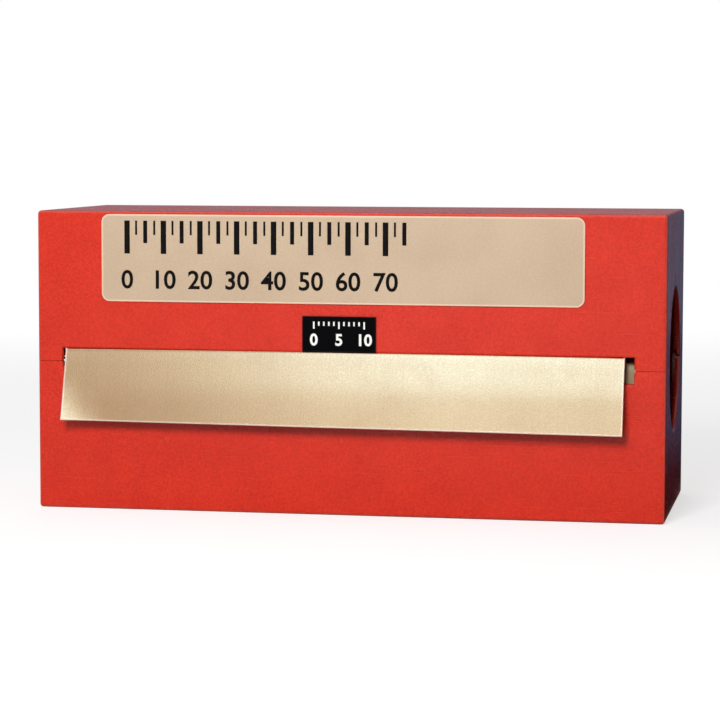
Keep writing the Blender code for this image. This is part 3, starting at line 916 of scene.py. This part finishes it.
def makeFloor():
    bm = bmesh.new()
    bmesh.ops.create_grid(bm, x_segments=1, y_segments=1, size=studio["floorSize"] / 2)
    material = bpy.data.materials.new("paleFloor")
    material.use_nodes = True
    tree = material.node_tree
    tree.nodes.clear()
    output = tree.nodes.new("ShaderNodeOutputMaterial")
    light = tree.nodes.new("ShaderNodeLightPath")
    position = tree.nodes.new("ShaderNodeTexCoord").outputs["Object"]
    paint = tree.nodes.new("ShaderNodeBsdfDiffuse")
    grain = noiseNode(tree, position, studio["floorGrain"], 3.0)
    tree.links.new(mixColor(tree, grain, studio["floorColor"], studio["floorShade"]),
                   paint.inputs["Color"])
    lift = tree.nodes.new("ShaderNodeEmission")
    white = tree.nodes.new("ShaderNodeEmission")
    tree.links.new(mathNode(tree, "MULTIPLY", light.outputs["Is Camera Ray"],
                            studio["floorLift"]), lift.inputs["Strength"])
    near = tree.nodes.new("ShaderNodeAddShader")
    tree.links.new(paint.outputs["BSDF"], near.inputs[0])
    tree.links.new(lift.outputs["Emission"], near.inputs[1])
    away = vectorNode(tree, "LENGTH", position)
    far = ramp(tree, away, studio["fadeStart"], studio["fadeEnd"])
    blend = tree.nodes.new("ShaderNodeMixShader")
    tree.links.new(mathNode(tree, "MULTIPLY", far, seenRay(tree, light)), blend.inputs["Fac"])
    tree.links.new(near.outputs["Shader"], blend.inputs[1])
    tree.links.new(white.outputs["Emission"], blend.inputs[2])
    tree.links.new(blend.outputs["Shader"], output.inputs["Surface"])
    floor = meshObject("paleFloor", bm, [material])


def makeWorld():
    world = bpy.data.worlds.new("studioWhite")
    bpy.context.scene.world = world
    world.use_nodes = True
    tree = world.node_tree
    back = tree.nodes["Background"]
    light = tree.nodes.new("ShaderNodeLightPath")
    seen = seenRay(tree, light)
    # the fill light comes from the front and left, and little of it from the right
    way = tree.nodes.new("ShaderNodeTexCoord").outputs["Generated"]
    fill = ramp(tree, splitAxes(tree, way)["X"], *studio["ambientTurn"], studio["ambient"],
                studio["ambientRight"])
    unseen = mathNode(tree, "SUBTRACT", 1.0, seen)
    tree.links.new(mathNode(tree, "MULTIPLY_ADD", unseen, fill, seen),
                   back.inputs["Strength"])
    back.inputs["Color"].default_value = (1.0, 1.0, 1.0, 1.0)


def makeLamps():
    for name in ("key", "back"):
        lamp = bpy.data.lights.new(name + "Lamp", "AREA")
        lamp.energy = studio[name + "Power"]
        lamp.shape = "SQUARE"
        lamp.size = studio[name + "Size"]
        stand = bpy.data.objects.new(name + "Lamp", lamp)
        stand.visible_glossy = False
        bpy.context.scene.collection.objects.link(stand)
        place = Vector(studio[name + "Place"])
        stand.location = place
        aim = Vector(studio["lampAim"]) - place
        stand.rotation_euler = aim.to_track_quat("-Z", "Y").to_euler()


def addCard(name, low, high):
    # a flat card between two corners, lying or facing the front, that the camera and the
    # lamps pass by: it is only seen in reflections
    low, high = Vector(low), Vector(high)
    bm = bmesh.new()
    bmesh.ops.create_grid(bm, x_segments=1, y_segments=1, size=0.5)
    if low.y == high.y:
        bmesh.ops.rotate(bm, verts=bm.verts, cent=(0, 0, 0),
                         matrix=Matrix.Rotation(math.radians(90), 3, "X"))
    bmesh.ops.scale(bm, verts=bm.verts, vec=high - low)
    bmesh.ops.translate(bm, verts=bm.verts, vec=(low + high) / 2)
    material = bpy.data.materials.new(name + "Cloth")
    material.use_nodes = True
    card = meshObject(name, bm, [material])
    card.visible_camera = False
    card.visible_diffuse = False
    card.visible_shadow = False
    card.visible_transmission = False
    tree = material.node_tree
    tree.nodes.clear()
    output = tree.nodes.new("ShaderNodeOutputMaterial")
    light = tree.nodes.new("ShaderNodeEmission")
    tree.links.new(light.outputs["Emission"], output.inputs["Surface"])
    return card, tree, light, output


def makeSoftbox():
    # brightest at its heart and fading outwards
    wide, tall = studio["softboxSize"]
    front = -studio["softboxDepth"]
    _, tree, light, _ = addCard("softbox", (-wide / 2, front, 0.0), (wide / 2, front, tall))
    place = splitAxes(tree, tree.nodes.new("ShaderNodeTexCoord").outputs["Object"])
    away = mathNode(tree, "SUBTRACT", place["X"], studio["softboxHeart"])
    across = ramp(tree, mathNode(tree, "ABSOLUTE", away), 0.0, studio["softboxSpread"],
                  1.0, 0.0)
    foot = ramp(tree, place["X"], *studio["softboxFootSpan"], *studio["softboxFoot"])
    rise = ramp(tree, place["Z"], *studio["softboxRise"], foot, 1.0)
    level = mathNode(tree, "MULTIPLY", across, rise)
    color = mixColor(tree, mathNode(tree, "MULTIPLY", level, 2.0), studio["softboxEdge"],
                     studio["softboxHalf"])
    color = mixColor(tree, mathNode(tree, "MULTIPLY_ADD", level, 2.0, -1.0), color,
                     studio["softboxGlow"])
    tree.links.new(color, light.inputs["Color"])
    light.inputs["Strength"].default_value = studio["softboxStrength"]


def makeFlags():
    # dark cards behind the case and on the table behind it, which its top and its right
    # wall mirror at a flat angle
    wide, tall = studio["flagSize"]
    back, side, table = studio["flagPlace"], caseHigh.x + 0.001, studio["tableHeight"]
    flags = {
        "wallFlag": ((-wide / 2, back, 0.0), (side, back, tall)),
        "sideFlag": ((side, back, 0.0), (wide / 2, back, tall)),
        "tableFlag": ((-wide / 2, studio["tableStart"], table), (side, back, table)),
    }
    for name, corners in flags.items():
        _, _, light, _ = addCard(name, *corners)
        light.inputs["Color"].default_value = studio[name]


def makeBesideCard():
    # a dark card on the table beside the right wall, which mirrors it and gets no bounce
    # from the floor there; its underside passes light, so the floor stays as it is
    side, table = caseHigh.x + 0.001, studio["tableHeight"]
    card, tree, light, output = addCard(
        "besideCard", (side, studio["besideStart"], table),
        (side + studio["flagSize"][0] / 2 - caseHigh.x, studio["flagPlace"], table))
    card.visible_diffuse = True
    place = splitAxes(tree, tree.nodes.new("ShaderNodeTexCoord").outputs["Object"])
    away = ramp(tree, place["Y"], *studio["besideFade"])
    tree.links.new(mixColor(tree, away, studio["besideNear"], studio["besideFar"]),
                   light.inputs["Color"])
    face = tree.nodes.new("ShaderNodeNewGeometry")
    clear = tree.nodes.new("ShaderNodeBsdfTransparent")
    blend = tree.nodes.new("ShaderNodeMixShader")
    tree.links.new(face.outputs["Backfacing"], blend.inputs["Fac"])
    tree.links.new(light.outputs["Emission"], blend.inputs[1])
    tree.links.new(clear.outputs["BSDF"], blend.inputs[2])
    tree.links.new(blend.outputs["Shader"], output.inputs["Surface"])


def makeCamera():
    yaw, pitch, roll = (studio[name] for name in ("cameraYaw", "cameraPitch", "cameraRoll"))
    ahead = Vector((math.sin(yaw) * math.cos(pitch), math.cos(yaw) * math.cos(pitch),
                    math.sin(pitch)))
    right = Vector((math.cos(yaw), -math.sin(yaw), 0.0))
    up = right.cross(ahead)
    tiltedRight = right * math.cos(roll) + up * math.sin(roll)
    tiltedUp = up * math.cos(roll) - right * math.sin(roll)
    turn = Matrix((tiltedRight, tiltedUp, -ahead)).transposed()
    lens = bpy.data.cameras.new("photoCamera")
    lens.lens = studio["cameraLens"]
    lens.sensor_width = 36.0
    lens.clip_start = 0.01
    lens.clip_end = 50.0
    camera = bpy.data.objects.new("photoCamera", lens)
    bpy.context.scene.collection.objects.link(camera)
    camera.matrix_world = Matrix.Translation(studio["cameraPlace"]) @ turn.to_4x4()
    bpy.context.scene.camera = camera


makeFloor()
makeWorld()
makeLamps()
makeSoftbox()
makeFlags()
makeBesideCard()
makeCamera()
bpy.context.scene.view_settings.view_transform = "Standard"
print("Shim stock roll: studio set up")
